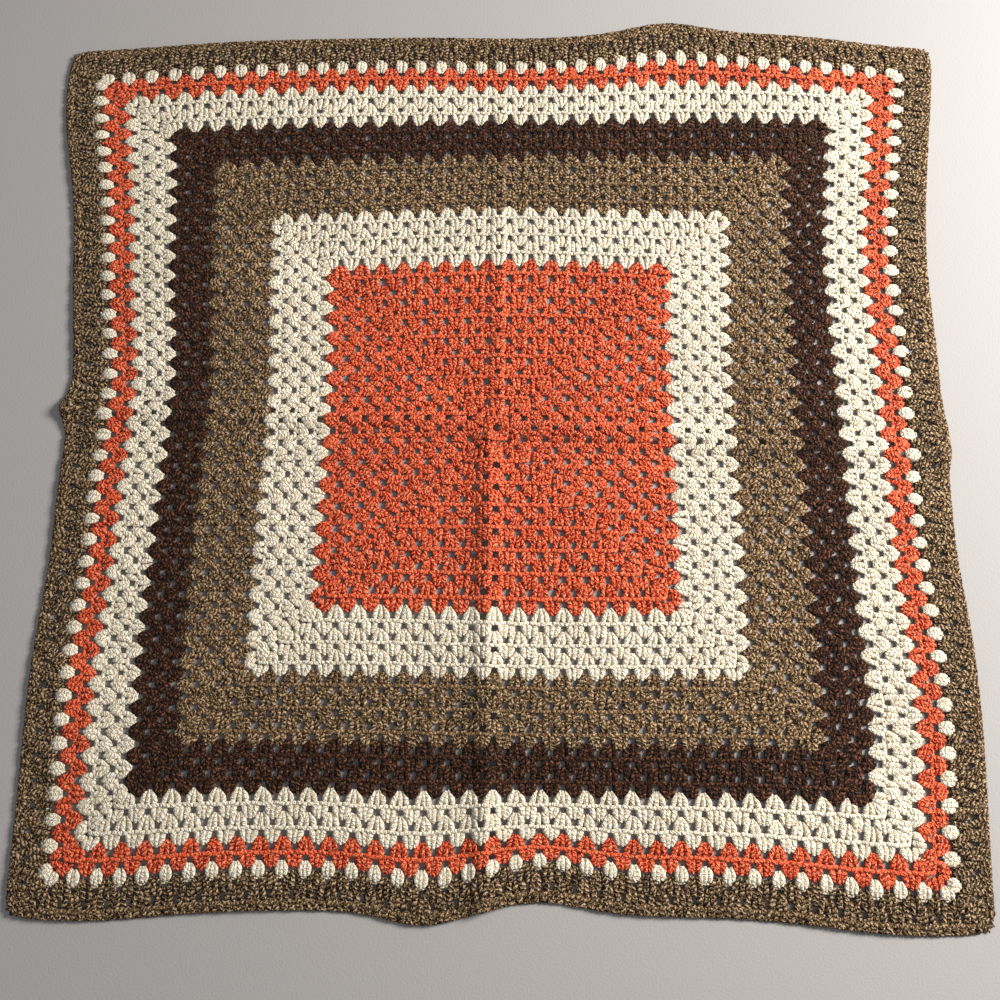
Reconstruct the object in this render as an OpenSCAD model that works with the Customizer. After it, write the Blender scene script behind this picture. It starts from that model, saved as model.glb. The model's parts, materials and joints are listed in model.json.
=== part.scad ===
// Crocheted granny-square throw, open and lying flat.
// It is worked outward from the centre in square rounds, each a row of three-post
// clusters, in bands of coral, cream, taupe tweed and dark brown tweed yarn.
// The throw folds on two creases that cross at its centre, so every band is made in
// four quarters. The origin is at the centre of the underside, and +Z is up.

/* [Rounds] */
// Height of one round, measured outward from the centre
round_h = 12; // [8:0.5:16]
// Height of the last round, the edging, which is a shorter stitch
edging_h = 8; // [5:0.5:12]
// Rounds in the coral centre
coral_centre_rounds = 16; // [2:1:24]
// Rounds in the inner cream band
cream_inner_rounds = 6; // [1:1:12]
// Rounds in the taupe tweed band
taupe_band_rounds = 6; // [1:1:12]
// Rounds in the dark brown tweed band
brown_band_rounds = 4; // [1:1:12]
// Rounds in the outer cream band
cream_outer_rounds = 4; // [1:1:12]
// Rounds in the narrow coral band
coral_outer_rounds = 2; // [1:1:6]
// Rounds of single cream clusters
cream_dots_rounds = 1; // [1:1:3]
// Rounds in the taupe border, inside its edging
taupe_border_rounds = 2; // [1:1:6]

/* [Fabric] */
// Thickness of the crocheted fabric between its ridges
fabric_t = 4; // [3:0.25:6]
// How far the chain ridge on every second round stands above the fabric
ridge_rise = 1; // [0.5:0.25:1.5]
// Width of a chain ridge
ridge_w = 3; // [2:0.5:4]
// Radius of the four outer corners
corner_r = 20; // [5:1:30]
// Diameter of the hole inside the ring that the first round is worked into
ring_hole_d = 8; // [4:1:12]
// Width of the yarn ring around that hole
ring_w = 3; // [2:0.5:4]

/* [Folding] */
// Gap along each crease between one quarter and the next
crease_gap = 1; // [0.2:0.1:2]

/* [Hidden] */
$fn = 64;

coral = [0.80, 0.34, 0.24];
cream = [0.88, 0.84, 0.74];
taupe = [0.47, 0.38, 0.28];
brown = [0.22, 0.15, 0.12];

// The last round of each band, counted from the centre
coral_centre_end = coral_centre_rounds;
cream_inner_end = coral_centre_end + cream_inner_rounds;
taupe_band_end = cream_inner_end + taupe_band_rounds;
brown_band_end = taupe_band_end + brown_band_rounds;
cream_outer_end = brown_band_end + cream_outer_rounds;
coral_outer_end = cream_outer_end + coral_outer_rounds;
cream_dots_end = coral_outer_end + cream_dots_rounds;
taupe_border_end = cream_dots_end + taupe_border_rounds;
edging_end = taupe_border_end + 1;

// A corner never cuts through the edging
edging_corner_r = min(corner_r, 3 * edging_h);

// The throw's full thickness, at its ridges
layer_t = fabric_t + ridge_rise;

QUARTERS = ["back_left", "back_right", "front_left", "front_right"];
BANDS = [
    "coral_centre",
    "cream_inner",
    "taupe_band",
    "brown_band",
    "cream_outer",
    "coral_outer",
    "cream_dots",
    "taupe_border",
    "edging"
];

// How far round n reaches from the centre; round 0 is the centre itself
function reach(n) = n < edging_end ? n * round_h : taupe_border_end * round_h + edging_h;

function on_left(quarter) = quarter == "back_left" || quarter == "front_left";

function in_front(quarter) = quarter == "front_left" || quarter == "front_right";

// Turns a shape made in the back right quarter into the named quarter
module place(quarter) {
    mirror([on_left(quarter) ? 1 : 0, 0, 0])
        mirror([0, in_front(quarter) ? 1 : 0, 0])
            children();
}

// The flat square from the two creases out to a distance, with its far corner rounded
module square_to(distance, far_r = 0) {
    inset = crease_gap / 2;
    translate([inset, inset]) {
        square([distance - inset, distance - inset - far_r]);
        square([distance - inset - far_r, distance - inset]);
    }
    translate([distance - far_r, distance - far_r])
        circle(r = far_r);
}

// The flat L between two distances from the creases
module corner_strip(inner, outer, far_r = 0) {
    difference() {
        square_to(outer, far_r);
        if (inner > 0) square(inner);
    }
}

// One quarter of a band: its fabric, and a raised ridge on the top of each odd round
module band_quarter(first, last) {
    linear_extrude(fabric_t)
        corner_strip(reach(first - 1), reach(last));
    for (n = [first : last])
        if (n % 2 == 1)
            linear_extrude(layer_t)
                corner_strip(reach(n) - ridge_w, reach(n));
}

// One quarter of the yarn ring in the middle of the first round
module ring_quarter() {
    linear_extrude(layer_t)
        intersection() {
            circle(d = ring_hole_d + 2 * ring_w);
            square_to(round_h);
        }
}

module coral_centre(quarter) {
    color(coral)
        place(quarter)
            difference() {
                union() {
                    band_quarter(1, coral_centre_end);
                    ring_quarter();
                }
                translate([0, 0, -1])
                    cylinder(d = ring_hole_d, h = layer_t + 2);
            }
}

module cream_inner(quarter) {
    color(cream)
        place(quarter)
            band_quarter(coral_centre_end + 1, cream_inner_end);
}

module taupe_band(quarter) {
    color(taupe)
        place(quarter)
            band_quarter(cream_inner_end + 1, taupe_band_end);
}

module brown_band(quarter) {
    color(brown)
        place(quarter)
            band_quarter(taupe_band_end + 1, brown_band_end);
}

module cream_outer(quarter) {
    color(cream)
        place(quarter)
            band_quarter(brown_band_end + 1, cream_outer_end);
}

module coral_outer(quarter) {
    color(coral)
        place(quarter)
            band_quarter(cream_outer_end + 1, coral_outer_end);
}

module cream_dots(quarter) {
    color(cream)
        place(quarter)
            band_quarter(coral_outer_end + 1, cream_dots_end);
}

module taupe_border(quarter) {
    color(taupe)
        place(quarter)
            band_quarter(cream_dots_end + 1, taupe_border_end);
}

// The edging has no ridge: its chain top lies on its rim
module edging(quarter) {
    color(taupe)
        place(quarter)
            linear_extrude(fabric_t)
                corner_strip(reach(taupe_border_end), reach(edging_end), edging_corner_r);
}

for (quarter = QUARTERS) {
    coral_centre(quarter);
    cream_inner(quarter);
    taupe_band(quarter);
    brown_band(quarter);
    cream_outer(quarter);
    coral_outer(quarter);
    cream_dots(quarter);
    taupe_border(quarter);
    edging(quarter);
}
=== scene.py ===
import json
import math

import bpy
import numpy as np
from mathutils import Matrix, Vector


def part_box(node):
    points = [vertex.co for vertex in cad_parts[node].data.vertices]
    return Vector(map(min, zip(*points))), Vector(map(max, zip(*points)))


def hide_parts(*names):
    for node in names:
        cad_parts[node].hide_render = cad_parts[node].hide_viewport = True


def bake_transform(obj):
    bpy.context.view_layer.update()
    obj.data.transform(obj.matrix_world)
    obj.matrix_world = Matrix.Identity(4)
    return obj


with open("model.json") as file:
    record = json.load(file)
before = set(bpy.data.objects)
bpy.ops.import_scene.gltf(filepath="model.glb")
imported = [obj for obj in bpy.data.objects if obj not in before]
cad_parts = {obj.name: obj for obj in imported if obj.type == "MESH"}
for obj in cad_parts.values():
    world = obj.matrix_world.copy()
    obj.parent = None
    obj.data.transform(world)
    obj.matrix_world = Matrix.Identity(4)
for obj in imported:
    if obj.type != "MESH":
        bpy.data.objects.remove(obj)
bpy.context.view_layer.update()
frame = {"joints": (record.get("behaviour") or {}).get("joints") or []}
mm = 0.001
tiny = 1e-9  # keeps a division away from zero
randomness = np.random.default_rng(42)

# The throw's colour bands from the centre outward. Fullness swells a band's posts, as a softer
# yarn does, and tone makes its yarn lighter or darker
bands = {
    "coral_centre": {"rounds": 16, "yarn": "coral_yarn", "fullness": 1.0, "tone": 0.0},
    "cream_inner": {"rounds": 6, "yarn": "cream_yarn", "fullness": 1.06, "tone": 0.0},
    "taupe_band": {"rounds": 6, "yarn": "taupe_tweed_yarn", "fullness": 1.1, "tone": 0.0},
    "brown_band": {"rounds": 4, "yarn": "brown_tweed_yarn", "fullness": 1.12, "tone": 0.0},
    "cream_outer": {"rounds": 4, "yarn": "cream_yarn", "fullness": 1.06, "tone": 0.0},
    "coral_outer": {"rounds": 2, "yarn": "coral_yarn", "fullness": 1.02, "tone": 0.0},
    "cream_dots": {"rounds": 1, "yarn": "cream_yarn", "fullness": 1.0, "tone": 0.05},
    "taupe_border": {"rounds": 2, "yarn": "taupe_tweed_yarn", "fullness": 1.12, "tone": -0.17},
    "edging": {"rounds": 1, "yarn": "taupe_tweed_yarn", "fullness": 1.0, "tone": -0.1},
}


def bandReach(band):
    # how far a band's outer edge lies from the centre
    return -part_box(band + "_back_left")[0].x


roundHeight = bandReach("coral_centre") / bands["coral_centre"]["rounds"]
clusterPitch = 2 * roundHeight  # each side gains one cluster a round, so the square stays flat
lastRound = sum(band["rounds"] for band in bands.values())
dotRound = lastRound - bands["taupe_border"]["rounds"] - 1  # the round of single cream clusters
halfSide = bandReach("edging")
print("throw:", lastRound, "rounds, half side", round(halfSide, 4), "m")

# Spacings are from post to post in a cluster; base and top are measured outward from the
# round's own base line, and the heights from the underside of the fabric.
fan = {  # right side out: three posts spread from one space, under a raised chain
    "base": -3.6 * mm, "top": 12.0 * mm, "shoulder": 0.2 * mm,
    "baseSpacing": 1.8 * mm, "topSpacing": 6.9 * mm, "bow": 1.0 * mm,
    "baseHeight": 2.3 * mm, "topHeight": 2.9 * mm, "arch": 0.5 * mm,
    "baseWidth": 2.2 * mm, "topWidth": 3.5 * mm, "depth": 1.6 * mm,
}
roundedFan = {  # a fan that stands alone in its colour, closed in round at the top
    "base": -4.0 * mm, "top": 11.6 * mm, "shoulder": 1.0 * mm,
    "baseSpacing": 2.0 * mm, "topSpacing": 3.4 * mm, "bow": 1.4 * mm,
    "baseHeight": 2.5 * mm, "topHeight": 3.0 * mm, "arch": 1.1 * mm,
    "baseWidth": 2.5 * mm, "topWidth": 3.3 * mm, "depth": 1.7 * mm,
}
dome = {  # wrong side out: three posts that close together at the top
    "base": -0.8 * mm, "top": 15.4 * mm, "shoulder": 1.7 * mm,
    "baseSpacing": 7.0 * mm, "topSpacing": 3.2 * mm, "bow": 0.3 * mm,
    "baseHeight": 2.3 * mm, "topHeight": 2.8 * mm, "arch": 0.8 * mm,
    "baseWidth": 3.4 * mm, "topWidth": 2.8 * mm, "depth": 1.6 * mm,
}
borderFan = {  # the border's closer fans, which reach down between the single clusters
    "base": -6.4 * mm, "top": 12.4 * mm, "shoulder": 0.2 * mm,
    "baseSpacing": 3.0 * mm, "topSpacing": 7.4 * mm, "bow": 1.2 * mm,
    "baseHeight": 2.2 * mm, "topHeight": 2.7 * mm, "arch": 0.5 * mm,
    "baseWidth": 2.4 * mm, "topWidth": 3.7 * mm, "depth": 1.6 * mm,
}
shortStitch = {  # the edging: a short post every third of a cluster
    "base": -3.4 * mm, "top": 7.4 * mm, "shoulder": 0.0,
    "baseSpacing": 7.0 * mm, "topSpacing": 8.0 * mm, "bow": 0.0,
    "baseHeight": 2.3 * mm, "topHeight": 2.7 * mm, "arch": 0.4 * mm,
    "baseWidth": 3.8 * mm, "topWidth": 4.4 * mm, "depth": 1.8 * mm,
}
chain = {  # the chain along a round's top: in front on the right side, behind on the wrong side
    "frontHeight": 4.0 * mm, "backHeight": 1.45 * mm, "rimHeight": 2.6 * mm,
    "frontWidth": 2.0 * mm, "backWidth": 1.5 * mm, "rimWidth": 2.5 * mm,
    "depth": 1.2 * mm, "waver": 0.6 * mm, "arch": 0.4 * mm, "lump": 0.18,
    # tone is a painted highlight: it lightens the raised front chain
    "lumps": 4, "rimInset": 1.9 * mm, "tone": 0.20, "sink": 1.4 * mm,
}
strand = {  # one strand's section: how it twists and bulges, closes at its tips, and its grid
    "twist": 1.5, "lobe": 0.10, "tip": 0.04, "tipRoundness": 0.24, "startSpread": 40,
    "postRings": 7, "postSides": 8, "chainRings": 7, "chainSides": 6,
}
cornerShape = {"lean": 3.2 * mm, "lift": 3.0 * mm, "radius": 20 * mm}
handmade = {"shift": 0.4 * mm, "sway": 0.7 * mm, "fullness": 0.06, "tone": 0.06}  # spreads by chance
ring = {"radius": 5.4 * mm, "thickness": 1.5 * mm, "height": 2.6 * mm}


def clusterPlaces(number):
    # round number has number clusters on each of its four sides, a pitch apart about the middle:
    # gives each cluster's side, its place along that side, and -1 or 1 at the two corner ones
    alongSide = (np.arange(number) - (number - 1) / 2) * clusterPitch
    end = np.zeros(number)
    if number > 1:
        end[0], end[-1] = -1, 1
    return np.repeat(np.arange(4), number), np.tile(alongSide, 4), np.tile(end, 4)


def onSide(side, along, outward, height):
    # turns a place on a side (along it, outward from the centre, up) into x, y, z:
    # side 0 faces the back, 1 the right, 2 the front and 3 the left
    turn = side * math.pi / 2
    x = along * np.cos(turn) + outward * np.sin(turn)
    y = -along * np.sin(turn) + outward * np.cos(turn)
    return np.stack([x, y, height + 0 * x], axis=-1)


def postTubes(number, style, fullness, tone):
    # three posts a cluster: post j runs outward from base to top, and across by j times a spacing
    # that goes from one value to the other with t and bows with sin(pi t)
    side, place, end = clusterPlaces(number)
    side, place, end = (values[:, None, None] for values in (side, place, end))
    t = 0.5 - 0.5 * np.cos(np.linspace(0, math.pi, strand["postRings"]))
    j = np.array([-1.0, 0.0, 1.0])[None, :, None]
    swell = np.sin(math.pi * t)
    base = ring["radius"] - ring["thickness"] if number == 1 else style["base"]
    shift = randomness.normal(0, handmade["shift"], (2, 4 * number, 3, 1))
    spacing = style["baseSpacing"] * (1 - t) + style["topSpacing"] * t + style["bow"] * swell
    sway = randomness.normal(0, handmade["sway"], (4 * number, 3, 1)) * (t - 0.5)
    along = place + j * spacing - end * cornerShape["lean"] * (1 - t) + shift[0] + sway
    outward = base + (style["top"] - base) * t - style["shoulder"] * abs(j) * t
    outward = outward + abs(end) * cornerShape["lift"] * (1 - t) + shift[1] + (number - 1) * roundHeight
    height = style["baseHeight"] * (1 - t) + style["topHeight"] * t + style["arch"] * swell
    path = onSide(side, along, outward, height)
    full = np.sin(math.pi * np.clip(t, strand["tip"], 1 - strand["tip"])) ** strand["tipRoundness"]
    full = full * fullness * (1 + randomness.normal(0, handmade["fullness"], (4 * number, 3, 1)))
    width = full * (style["baseWidth"] * (1 - t) + style["topWidth"] * t)
    depth = full * style["depth"]
    rings = strand["postRings"]
    return twistTubes(path.reshape(-1, rings, 3), width.reshape(-1, rings), depth.reshape(-1, rings),
                      strand["postSides"], strand["twist"], strand["lobe"], tone)


def chainTubes(number, tone):
    # two lengths of chain for each cluster, half a pitch each: they waver and swell with cosines,
    # so that each length meets the next with the same section; on the left and right sides the
    # chain sinks lower among the posts
    side, place, end = (values[:, None, None] for values in clusterPlaces(number))
    t = np.array([0.0, 0.5])[None, :, None] + np.linspace(0, 0.5, strand["chainRings"])
    arch = np.cos(2 * math.pi * (t - 0.5))
    along = place + (t - 0.5) * clusterPitch
    if number == lastRound:
        outward, face = halfSide - chain["rimInset"] + 0 * along, "rim"
    else:
        outward = number * roundHeight + chain["waver"] * arch + 0 * along
        face = "front" if number % 2 and number != dotRound else "back"
    height = chain[face + "Height"] + chain["arch"] * arch
    if face == "front":
        height = height - chain["sink"] * (side % 2)
        # painted highlight: the raised front chain is made lighter
        tone = tone + chain["tone"]
    path = onSide(side, along, outward, height)
    swell = 1 + chain["lump"] * np.cos(2 * math.pi * (chain["lumps"] * t + 0.5)) + 0 * along
    rings = strand["chainRings"]
    width, depth = (swell * thick for thick in (chain[face + "Width"], chain["depth"]))
    return twistTubes(path.reshape(-1, rings, 3), width.reshape(-1, rings), depth.reshape(-1, rings),
                      strand["chainSides"], 0, 0, tone)


def ringTubes():
    # the yarn ring that the first round is worked into: a circle in four closed lengths
    start = np.arange(4)[:, None] * math.pi / 2
    angle = start + np.linspace(0, math.pi / 2, strand["chainRings"])
    path = np.stack([ring["radius"] * np.cos(angle), ring["radius"] * np.sin(angle),
                     ring["height"] + 0 * angle], axis=-1)
    thick = ring["thickness"] + 0 * angle
    return twistTubes(path, thick, thick, strand["chainSides"], 0, 0, 0.0)


def twistTubes(path, width, depth, sides, twist, lobe, tone):
    # a tube round each path: its section is an oval of two lobes, with radius
    # 1 + lobe cos(2 (a - pi twist t) - phase), which turns along the tube as two plied strands do;
    # each strand's phase, winding and tone are left to chance
    forward = np.gradient(path, axis=1)
    forward /= np.linalg.norm(forward, axis=-1, keepdims=True)
    across = np.cross(forward, [0.0, 0.0, 1.0])
    across /= np.linalg.norm(across, axis=-1, keepdims=True)
    lift = np.cross(across, forward)
    count, rings = path.shape[:2]
    angle = 2 * math.pi * np.arange(sides) / sides
    t = np.linspace(0, 1, rings)[None, :, None]
    phase = randomness.uniform(0, math.pi, (count, 1, 1))
    radius = 1 + lobe * np.cos(2 * (angle - math.pi * twist * t) - phase)
    points = (path[:, :, None, :]
              + (width[:, :, None] * radius * np.cos(angle))[..., None] * across[:, :, None, :]
              + (depth[:, :, None] * radius * np.sin(angle))[..., None] * lift[:, :, None, :])
    step = np.linalg.norm(np.diff(path, axis=1), axis=-1)
    length = np.concatenate([np.zeros((count, 1)), np.cumsum(step, axis=1)], axis=1) / mm
    length = length * randomness.choice([-1.0, 1.0], (count, 1))
    length = length + randomness.uniform(0, strand["startSpread"], (count, 1))
    tone = tone + randomness.normal(0, handmade["tone"], (count, 1, 1)) + np.zeros((count, rings, sides))
    return {"path": path, "points": points, "length": length, "tone": tone}


# How the throw lies: each tug has drawn the cloth out of square near one place. Places and
# pulls are x, y in metres
tugs = [
    {"at": (-0.50, 0.45), "pull": (-0.028, -0.014), "spread": 0.13},
    {"at": (0.50, 0.50), "pull": (0.010, -0.024), "spread": 0.12},
    {"at": (-0.45, 0.05), "pull": (0.018, 0.0), "spread": 0.12},
    {"at": (-0.50, 0.032), "pull": (-0.010, 0.0), "spread": 0.022},
    {"at": (0.46, 0.20), "pull": (-0.015, 0.0), "spread": 0.13},
    {"at": (0.20, 0.51), "pull": (0.0, 0.015), "spread": 0.06},
    {"at": (-0.43, -0.50), "pull": (0.0, -0.014), "spread": 0.12},
    {"at": (0.43, -0.50), "pull": (0.0, -0.014), "spread": 0.12},
    {"at": (-0.07, -0.50), "pull": (0.0, -0.012), "spread": 0.05},
    {"at": (0.05, -0.48), "pull": (0.0, 0.012), "spread": 0.06},
    {"at": (0.42, -0.30), "pull": (0.008, 0.0), "spread": 0.10},
    {"at": (0.0, 0.0), "pull": (0.0, 0.007), "spread": 0.30},
    {"at": (0.50, 0.0), "pull": (-0.009, 0.0), "spread": 0.10},
    {"at": (0.52, -0.002), "pull": (0.008, 0.0), "spread": 0.03},
    {"at": (0.49, -0.13), "pull": (-0.006, 0.0), "spread": 0.07},
    {"at": (-0.47, -0.13), "pull": (0.009, 0.0), "spread": 0.09},
    {"at": (0.0, 0.22), "pull": (0.0, 0.0055), "spread": 0.14},
    {"at": (0.05, -0.21), "pull": (0.0, -0.004), "spread": 0.14},
    {"at": (-0.23, 0.03), "pull": (0.006, 0.0), "spread": 0.11},
    {"at": (0.24, 0.06), "pull": (-0.005, 0.0), "spread": 0.13},
    {"at": (-0.09, -0.42), "pull": (0.0, -0.004), "spread": 0.06},
    {"at": (0.03, 0.47), "pull": (0.0, -0.004), "spread": 0.09},
]
# The coral square is worked a little looser
looseCoral = {"at": 0.207, "amount": 5 * mm, "spread": 0.040}
# Old fold lines stand as low ridges between two points
creases = [
    {"start": (-0.50, 0.030), "finish": (0.0, 0.004), "height": 6.0 * mm, "width": 0.011},
    {"start": (0.0, 0.004), "finish": (0.52, -0.026), "height": 6.5 * mm, "width": 0.012},
    {"start": (-0.008, 0.0), "finish": (-0.008, -0.52), "height": 6.5 * mm, "width": 0.013},
    {"start": (0.0, 0.0), "finish": (0.002, 0.40), "height": 2.5 * mm, "width": 0.010},
]
# Loose waves towards the rim
ripples = {"height": 1.8 * mm, "length": 0.21, "offset": 0.8, "from": 0.33}


def smoothStep(value, low, high):
    # 0 below low, 1 above high, and 3s^2 - 2s^3 between
    s = np.clip((value - low) / (high - low), 0, 1)
    return s * s * (3 - 2 * s)


def layOut(points):
    # the corners are pressed round, the coral square's edge is eased outward, each tug moves points
    # by exp(-(distance / spread)^2) of its pull, and the creases and ripples lift them
    x, y, z = points[..., 0].copy(), points[..., 1].copy(), points[..., 2].copy()
    pastX = np.clip(abs(x) - (halfSide - cornerShape["radius"]), 0, None)
    pastY = np.clip(abs(y) - (halfSide - cornerShape["radius"]), 0, None)
    both = np.hypot(pastX, pastY)
    press = np.where((pastX > 0) & (pastY > 0), np.maximum(pastX, pastY) / np.maximum(both, tiny), 1)
    x = x - np.sign(x) * pastX * (1 - press)
    y = y - np.sign(y) * pastY * (1 - press)
    square = np.maximum(abs(x), abs(y))
    loose = looseCoral["amount"] * np.exp(-((square - looseCoral["at"]) / looseCoral["spread"]) ** 2)
    movedX = x + loose * x / np.maximum(square, tiny)
    movedY = y + loose * y / np.maximum(square, tiny)
    for tug in tugs:
        near = np.exp(-((x - tug["at"][0]) ** 2 + (y - tug["at"][1]) ** 2) / tug["spread"] ** 2)
        movedX = movedX + tug["pull"][0] * near
        movedY = movedY + tug["pull"][1] * near
    lift = 0 * x
    for crease in creases:
        start, run = np.array(crease["start"]), np.subtract(crease["finish"], crease["start"])
        t = np.clip(((x - start[0]) * run[0] + (y - start[1]) * run[1]) / (run @ run), 0, 1)
        offLine = np.hypot(x - start[0] - t * run[0], y - start[1] - t * run[1])
        lift = np.maximum(lift, crease["height"] * np.exp(-(offLine / crease["width"]) ** 2))
    waveX, waveY = (2 * math.pi * values / ripples["length"] for values in (x, y))
    wave = 0.5 + 0.5 * (np.sin(waveX) * np.sin(waveY + ripples["offset"]))
    lift = lift + ripples["height"] * wave * smoothStep(square, ripples["from"], halfSide)
    return np.stack([movedX, movedY, z + lift], axis=-1)


def tubeFaces(rings, sides):
    # one tube's faces as corner indices: four-sided round its wall, and one face at each end,
    # with the place of each face corner round and along the tube
    i, k = np.meshgrid(np.arange(rings - 1), np.arange(sides), indexing="ij")
    nextK = (k + 1) % sides
    wall = np.stack([i * sides + k, (i + 1) * sides + k, (i + 1) * sides + nextK, i * sides + nextK], axis=-1)
    around = np.stack([k, k, k + 1, k + 1], axis=-1) / sides
    station = np.stack([i, i + 1, i + 1, i], axis=-1)
    turn = np.arange(sides)
    ends = np.concatenate([turn, (rings - 1) * sides + turn[::-1]])
    corners = np.concatenate([wall.ravel(), ends])
    around = np.concatenate([around.ravel(), turn / sides, turn[::-1] / sides])
    station = np.concatenate([station.ravel(), np.zeros(sides, int), np.full(sides, rings - 1)])
    sizes = np.concatenate([np.full((rings - 1) * sides, 4), [sides, sides]])
    return corners, sizes, around, station


def makePiece(name, tubeSets):
    # every tube of every set becomes part of one mesh, with a UV map of the place round each
    # strand and the length along it in millimetres, and each strand's tone as an attribute
    points, corners, sizes, uv, tone, first = [], [], [], [], [], 0
    for tubes in tubeSets:
        count, rings, sides = tubes["points"].shape[:3]
        if count == 0:
            continue
        faceCorners, faceSizes, around, station = tubeFaces(rings, sides)
        starts = first + np.arange(count)[:, None] * rings * sides
        points.append(layOut(tubes["points"]).reshape(-1, 3))
        tone.append(tubes["tone"].ravel())
        corners.append((starts + faceCorners).ravel())
        sizes.append(np.tile(faceSizes, count))
        uv.append(np.stack([np.tile(around, count), tubes["length"][:, station].ravel()], axis=-1))
        first += count * rings * sides
    points, corners, sizes, uv, tone = map(np.concatenate, (points, corners, sizes, uv, tone))
    mesh = bpy.data.meshes.new(name)
    mesh.vertices.add(len(points))
    mesh.vertices.foreach_set("co", points.astype(np.float32).ravel())
    mesh.loops.add(len(corners))
    mesh.loops.foreach_set("vertex_index", corners.astype(np.int32))
    mesh.polygons.add(len(sizes))
    mesh.polygons.foreach_set("loop_start", np.concatenate([[0], np.cumsum(sizes)[:-1]]).astype(np.int32))
    mesh.polygons.foreach_set("use_smooth", np.ones(len(sizes), bool))
    mesh.uv_layers.new(name="strand").uv.foreach_set("vector", uv.astype(np.float32).ravel())
    mesh.attributes.new("tone", "FLOAT", "POINT").data.foreach_set("value", tone.astype(np.float32))
    mesh.update(calc_edges=True)
    piece = bpy.data.objects.new(name, mesh)
    bpy.context.scene.collection.objects.link(piece)
    return piece


class Signal:
    # a node's output, so that sums and products written in Python add Math nodes
    def __init__(self, shader, socket):
        self.shader, self.socket = shader, socket

    def work(self, operation, first, second=0.0):
        values = {"Value": first, "Value_001": second}
        return self.shader.node("Math", {"operation": operation}, values)["Value"]

    def __add__(self, other):
        return self.work("ADD", self, other)

    def __radd__(self, other):
        return self.work("ADD", other, self)

    def __sub__(self, other):
        return self.work("SUBTRACT", self, other)

    def __rsub__(self, other):
        return self.work("SUBTRACT", other, self)

    def __mul__(self, other):
        return self.work("MULTIPLY", self, other)

    def __rmul__(self, other):
        return self.work("MULTIPLY", other, self)

    def __truediv__(self, other):
        return self.work("DIVIDE", self, other)

    def __rtruediv__(self, other):
        return self.work("DIVIDE", other, self)

    def cosine(self):
        return self.work("COSINE", self)


class Shader:
    # one material's nodes
    def __init__(self, name):
        self.material = bpy.data.materials.new(name)
        self.material.use_nodes = True
        self.tree = self.material.node_tree
        self.tree.nodes.clear()

    def node(self, kind, settings=None, sockets=None):
        # adds a node, applies its settings, then fills or links its sockets by identifier
        made = self.tree.nodes.new("ShaderNode" + kind)
        for name, value in (settings or {}).items():
            if name == "stops":
                for stop, (position, colour) in zip(self.stopsOf(made, len(value)), value):
                    stop.position, stop.color = position, colour
            else:
                setattr(made, name, value)
        for socket in made.inputs:
            value = (sockets or {}).get(socket.identifier)
            if isinstance(value, Signal):
                self.tree.links.new(value.socket, socket)
            elif value is not None:
                socket.default_value = value
        return {socket.identifier: Signal(self, socket) for socket in made.outputs}

    def stopsOf(self, ramp, count):
        while len(ramp.color_ramp.elements) < count:
            ramp.color_ramp.elements.new(1.0)
        return ramp.color_ramp.elements

    def mix(self, factor, first, second):
        return self.node("Mix", {"data_type": "RGBA"},
                         {"Factor_Float": factor, "A_Color": first, "B_Color": second})["Result_Color"]

    def ramp(self, factor, stops):
        return self.node("ValToRGB", {"stops": stops}, {"Fac": factor})["Color"]

    def noise(self, coordinates, scale, detail=2.0):
        return self.node("TexNoise", {}, {"Vector": coordinates, "Scale": scale, "Detail": detail})["Fac"]


# Each yarn's colour down in its grooves, darkened there as painted shade, on its crests, lightened there as a
# painted highlight, and in its flecks, and how many flecks it has; the yarn's own colour lies between groove
# and crest
yarns = {
    "coral_yarn": {"grooveShade": (0.20, 0.004, 0.0015, 1), "crestHighlight": (0.98, 0.15, 0.055, 1),
                   "fleck": (1.0, 0.34, 0.18, 1), "flecks": 0.3, "sheen": 0.03},
    "cream_yarn": {"grooveShade": (0.66, 0.54, 0.37, 1), "crestHighlight": (0.98, 0.89, 0.70, 1),
                   "fleck": (1.0, 0.96, 0.84, 1), "flecks": 0.3, "sheen": 0.03},
    "taupe_tweed_yarn": {"grooveShade": (0.008, 0.004, 0.002, 1), "crestHighlight": (0.20, 0.115, 0.052, 1),
                         "fleck": (0.60, 0.42, 0.24, 1), "flecks": 0.5, "sheen": 0.03},
    "brown_tweed_yarn": {"grooveShade": (0.002, 0.001, 0.0005, 1), "crestHighlight": (0.046, 0.017, 0.008, 1),
                         "fleck": (0.20, 0.085, 0.045, 1), "flecks": 0.3, "sheen": 0.02},
}
# Pitches are millimetres along the strand, and scales are noise cells to the metre
plies = {"around": 2, "pitch": 4.4, "fineAround": 7, "finePitch": 1.5, "waver": 1.8, "bump": 1.2 * mm,
         "fibreScale": 900, "fleckScale": 360, "wearScale": 9}
# How much the plies, the finer threads and the loose fibres each add to a yarn's tone and height; the tone
# runs from the painted groove shade at dark to the painted crest highlight at bright
toneShare = {"crest": 0.62, "thread": 0.16, "fibre": 0.22, "dark": 0.22, "bright": 0.66}
heightShare = {"crest": 0.72, "thread": 0.12, "fibre": 0.16}
fleckLook = {"edge": 0.60, "reach": 0.16, "soft": 0.05}  # flecks show where the marl is above the edge
wearLook = {"low": 0.3, "high": 0.7, "darkest": 0.84}
finish = {"roughness": 0.95, "fibreShine": 0.2, "specular": 0.15, "sheenRoughness": 0.5}
black, white = (0, 0, 0, 1), (1, 1, 1, 1)


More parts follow.
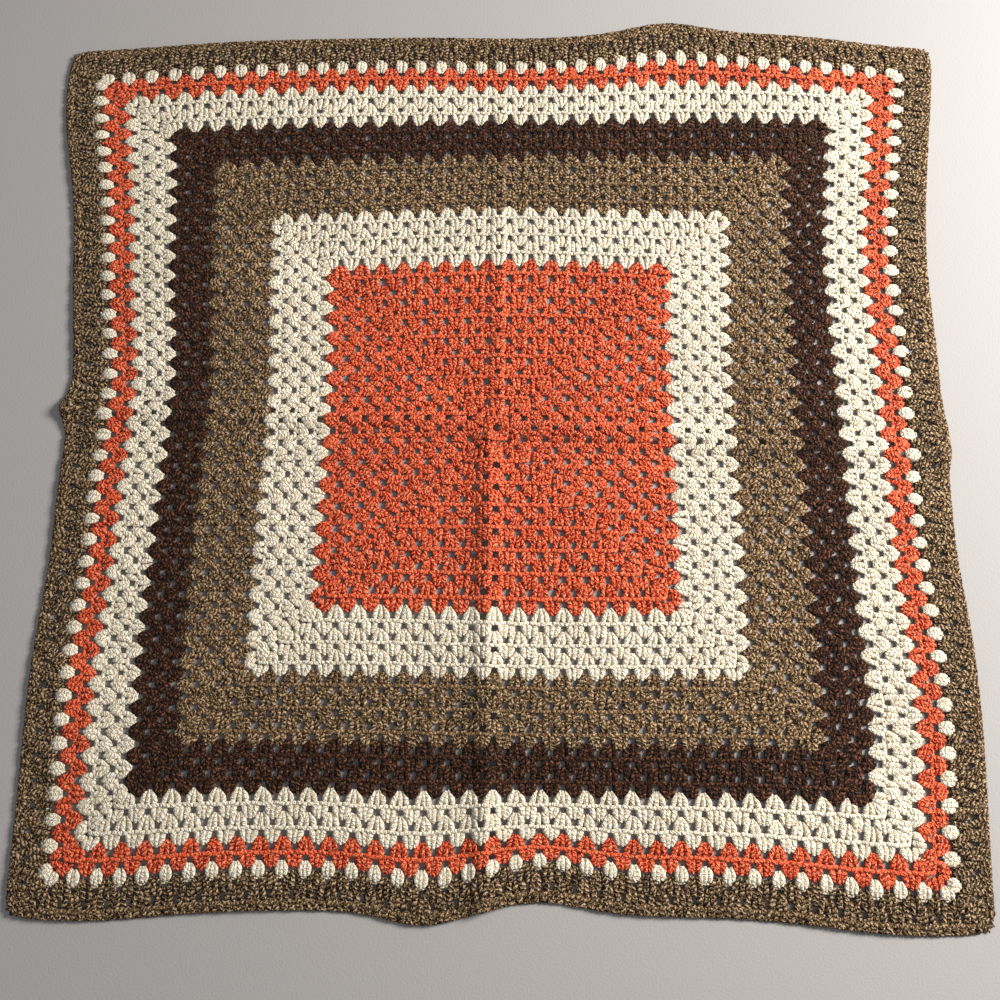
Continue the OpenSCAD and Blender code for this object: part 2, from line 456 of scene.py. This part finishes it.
def yarnMaterial(name, look):
    # plies wind round the strand as cos 2 pi (around u + v / pitch), and finer threads wind the other
    # way: both get painted shade in the grooves and a painted highlight on the crests, with loose
    # fibres, flecks of a second ply, and a slow drift of tone over the throw
    shader = Shader(name)
    strandMap = shader.node("UVMap", {"uv_map": "strand"})["UV"]
    split = shader.node("SeparateXYZ", {}, {"Vector": strandMap})
    place = shader.node("TexCoord")["Object"]
    fibre = shader.noise(place, plies["fibreScale"], 1.0)
    marl = shader.noise(place, plies["fleckScale"], 1.0)
    wear = shader.noise(place, plies["wearScale"])
    phase = split["X"] * plies["around"] + split["Y"] / plies["pitch"] + marl * plies["waver"]
    finePhase = split["X"] * plies["fineAround"] - split["Y"] / plies["finePitch"] + marl
    crest = (phase * (2 * math.pi)).cosine() * 0.5 + 0.5
    thread = (finePhase * (2 * math.pi)).cosine() * 0.5 + 0.5
    # each strand's tone: random, with the painted highlight of the front chain added
    strandTone = shader.node("Attribute", {"attribute_name": "tone"})["Fac"]
    tone = crest * toneShare["crest"] + thread * toneShare["thread"] + fibre * toneShare["fibre"]
    tone = tone + strandTone
    # this ramp paints shade into the grooves and a highlight onto the crests
    lightness = shader.ramp(tone, [(toneShare["dark"], black), (toneShare["bright"], white)])
    colour = shader.mix(lightness, look["grooveShade"], look["crestHighlight"])
    edge = fleckLook["edge"] - fleckLook["reach"] * look["flecks"]
    fleckMask = shader.ramp(marl, [(edge - fleckLook["soft"], black), (edge + fleckLook["soft"], white)])
    colour = shader.mix(fleckMask * crest, colour, look["fleck"])
    worn = (wearLook["darkest"],) * 3 + (1,)
    drift = shader.ramp(wear, [(wearLook["low"], worn), (wearLook["high"], white)])
    colour = shader.node("Mix", {"data_type": "RGBA", "blend_type": "MULTIPLY"},
                         {"Factor_Float": 1.0, "A_Color": colour, "B_Color": drift})["Result_Color"]
    height = crest * heightShare["crest"] + thread * heightShare["thread"] + fibre * heightShare["fibre"]
    bump = shader.node("Bump", {}, {"Strength": 1.0, "Distance": plies["bump"], "Height": height})["Normal"]
    roughness = finish["roughness"] - finish["fibreShine"] * fibre
    surface = shader.node("BsdfPrincipled", {}, {
        "Base Color": colour, "Roughness": roughness, "Normal": bump,
        "Specular IOR Level": finish["specular"], "Sheen Weight": look["sheen"],
        "Sheen Roughness": finish["sheenRoughness"]})["BSDF"]
    shader.node("OutputMaterial", {}, {"Surface": surface})
    return shader.material


def foldHeight(name):
    # the height of a fold's turning line
    return next(joint for joint in frame["joints"] if joint["name"] == name)["pos_m"][2]


layerMiddle = 2.75 * mm  # about half the height of the stitches
# A fold takes a half circle of cloth, half of it on each side of the crease
frontZone = math.pi / 2 * (foldHeight("front_fold") - layerMiddle)
sideZone = math.pi / 2 * (foldHeight("side_fold") - layerMiddle)
onCentre = 0.01 * mm  # a stitch this near the middle line counts as on it
# A piece takes in one or two quarters of a band; its bends, start and end name the creases it crosses and are
# not read here
parts = {
    "back": {"quarters": ("back_left", "back_right"), "bends": ("back_left_quarter", "back_right_quarter"),
             "start": (-sideZone, 0, 0), "end": (sideZone, 0, 0)},
    "front_left": {"quarters": ("front_left",), "bends": ("back_left_quarter", "front_left_quarter"),
                   "start": (0, frontZone, 0), "end": (0, -frontZone, 0)},
    "front_right": {"quarters": ("front_right",), "bends": ("back_right_quarter", "front_right_quarter"),
                    "start": (0, frontZone, 0), "end": (0, -frontZone, 0)},
}


def tubesIn(tubes, part):
    # the back takes the tubes that lie wholly behind the front fold's bend, and the front quarters
    # take the rest, each by the side its middle is on
    isBack = tubes["path"][..., 1].min(axis=1) > frontZone
    isLeft = tubes["path"][..., 0].mean(axis=1) <= onCentre
    wanted = {"back": isBack, "front_left": ~isBack & isLeft, "front_right": ~isBack & ~isLeft}[part]
    return {key: value[wanted] for key, value in tubes.items()}


def stitchesOf(number, facts):
    # one round's posts and chain: fans on odd rounds and domes on even ones, up to the single
    # clusters, then the border's fans and the edging's short posts
    if number == lastRound:
        style = shortStitch
    elif number == dotRound:
        style = roundedFan
    elif number > dotRound:
        style = borderFan
    else:
        style = fan if number % 2 else dome
    return [postTubes(number, style, facts["fullness"], facts["tone"]), chainTubes(number, facts["tone"])]


materials = {name: yarnMaterial(name, look) for name, look in yarns.items()}
print("yarns:", ", ".join(materials))
lastDone = 0
for band, facts in bands.items():
    numbers = range(lastDone + 1, lastDone + facts["rounds"] + 1)
    stitches = [tubes for number in numbers for tubes in stitchesOf(number, facts)]
    if band == "coral_centre":
        stitches.append(ringTubes())
    for part, spec in parts.items():
        own = [tubesIn(tubes, part) for tubes in stitches]
        piece = makePiece(f"{band}_{part}_stitches", own)
        piece.data.materials.append(materials[facts["yarn"]])
        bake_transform(piece)
        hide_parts(*(f"{band}_{quarter}" for quarter in spec["quarters"]))
        print(piece.name, len(piece.data.polygons), "faces")
    lastDone = numbers[-1]


camera = {"lens": 36, "sensor": 36, "place": (0.0451, -0.2960, 1.0762),
          "turn": 10.324, "tilt": 11.905, "roll": -9.984}


def addCamera():
    # the camera rolls about its own line of sight, then tilts, then turns about the upright
    data = bpy.data.cameras.new("camera")
    data.lens, data.sensor_width = camera["lens"], camera["sensor"]
    made = bpy.data.objects.new("camera", data)
    turn = Matrix.Rotation(math.radians(camera["turn"]), 4, "Z")
    tilt = Matrix.Rotation(math.radians(camera["tilt"]), 4, "X")
    roll = Matrix.Rotation(math.radians(camera["roll"]), 4, "Z")
    made.matrix_world = Matrix.Translation(camera["place"]) @ turn @ tilt @ roll
    bpy.context.scene.collection.objects.link(made)
    bpy.context.scene.camera = made


floorLook = {"size": 8.0, "colour": (0.42, 0.405, 0.395, 1), "roughness": 0.9, "specular": 0.1,
             "napScale": 420, "napStrength": 0.25, "napDepth": 1 * mm}


def addFloor():
    # a plain square of short-napped cloth, centred under the throw
    half = floorLook["size"] / 2
    mesh = bpy.data.meshes.new("floor")
    corners = [(-half, -half, 0), (half, -half, 0), (half, half, 0), (-half, half, 0)]
    mesh.from_pydata(corners, [], [(0, 1, 2, 3)])
    shader = Shader("floor_cloth")
    place = shader.node("TexCoord")["Object"]
    nap = shader.noise(place, floorLook["napScale"])
    bump = shader.node("Bump", {}, {"Strength": floorLook["napStrength"], "Distance": floorLook["napDepth"],
                                    "Height": nap})["Normal"]
    surface = shader.node("BsdfPrincipled", {}, {
        "Base Color": floorLook["colour"], "Roughness": floorLook["roughness"], "Normal": bump,
        "Specular IOR Level": floorLook["specular"]})["BSDF"]
    shader.node("OutputMaterial", {}, {"Surface": surface})
    mesh.materials.append(shader.material)
    floor = bpy.data.objects.new("floor", mesh)
    bpy.context.scene.collection.objects.link(floor)


key = {"place": (1.80, 0.50, 1.15), "size": 0.7, "power": 92, "colour": (1.0, 0.965, 0.92)}
sky = {"colour": (0.90, 0.91, 0.95), "strength": 0.30}


def addLight():
    # one soft light low on the right, aimed at the middle of the throw, and an even sky
    data = bpy.data.lights.new("window", "AREA")
    data.size, data.energy, data.color = key["size"], key["power"], key["colour"]
    made = bpy.data.objects.new("window", data)
    made.location = key["place"]
    made.rotation_euler = (-Vector(key["place"])).to_track_quat("-Z", "Y").to_euler()
    bpy.context.scene.collection.objects.link(made)
    world = bpy.data.worlds.new("room")
    world.use_nodes = True
    background = world.node_tree.nodes["Background"]
    background.inputs["Color"].default_value = (*sky["colour"], 1)
    background.inputs["Strength"].default_value = sky["strength"]
    bpy.context.scene.world = world


addCamera()
addFloor()
addLight()
bpy.context.scene.view_settings.view_transform = "Standard"
print("camera, floor and light added")
